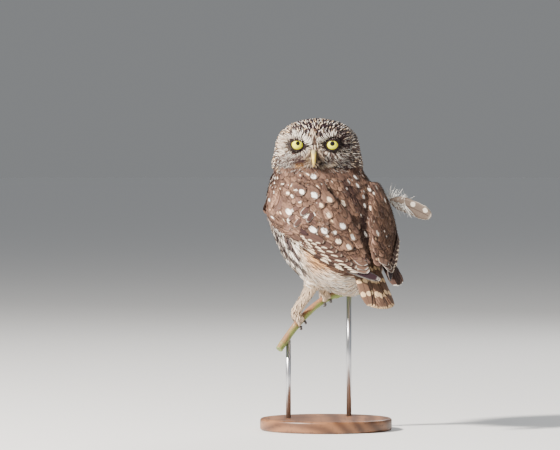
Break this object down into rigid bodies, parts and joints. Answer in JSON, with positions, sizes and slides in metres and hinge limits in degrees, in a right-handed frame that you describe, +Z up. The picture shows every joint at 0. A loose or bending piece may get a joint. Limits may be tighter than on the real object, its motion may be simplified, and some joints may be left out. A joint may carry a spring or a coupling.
{
  "type": "little owl",
  "caption": "Little owl perched on a short cut stem, head turned right round to look over its back, on a plain display stand with a round base.",
  "frame": {"origin": "centre of the round base's underside, on the floor", "axes": "+Z up; the owl's back and its turned face look along -Y; its body heads along +Y turned 36 degrees to -X; +X is to the right of one who looks at the face"},
  "size_m": [0.1721, 0.1492, 0.313],
  "materials": {
    "plumage": "brown feathers with cream-white spots and bars, matte",
    "leg_down": "short cream down, matte",
    "eye": "wet gloss, pale lemon iris and black pupil",
    "beak_horn": "smooth horn, satin",
    "claw_horn": "dark horn, satin",
    "stem": "young green-brown bark, pale at the cut ends",
    "stand_rods": "brushed",
    "stand_wood": "dark stained wood, satin"
  },
  "bodies": {
    "root": {"head": "plumage", "neck": "plumage", "trunk": "plumage", "wing_left": "plumage", "wing_right": "plumage", "tail": "plumage", "loose_feather": "plumage", "leg_left": "leg_down", "leg_right": "leg_down", "foot_left": "leg_down", "foot_right": "leg_down", "eye_left": "eye", "eye_right": "eye", "beak_upper": "beak_horn", "beak_lower": "beak_horn", "claw_left_front_inner": "claw_horn", "claw_left_front_middle": "claw_horn", "claw_left_back_outer": "claw_horn", "claw_left_back_hind": "claw_horn", "claw_right_front_inner": "claw_horn", "claw_right_front_middle": "claw_horn", "claw_right_back_outer": "claw_horn", "claw_right_back_hind": "claw_horn", "perch": "stem", "stand_rod_front": "stand_rods", "stand_rod_back": "stand_rods", "stand_base": "stand_wood"}
  },
  "joints": []
}
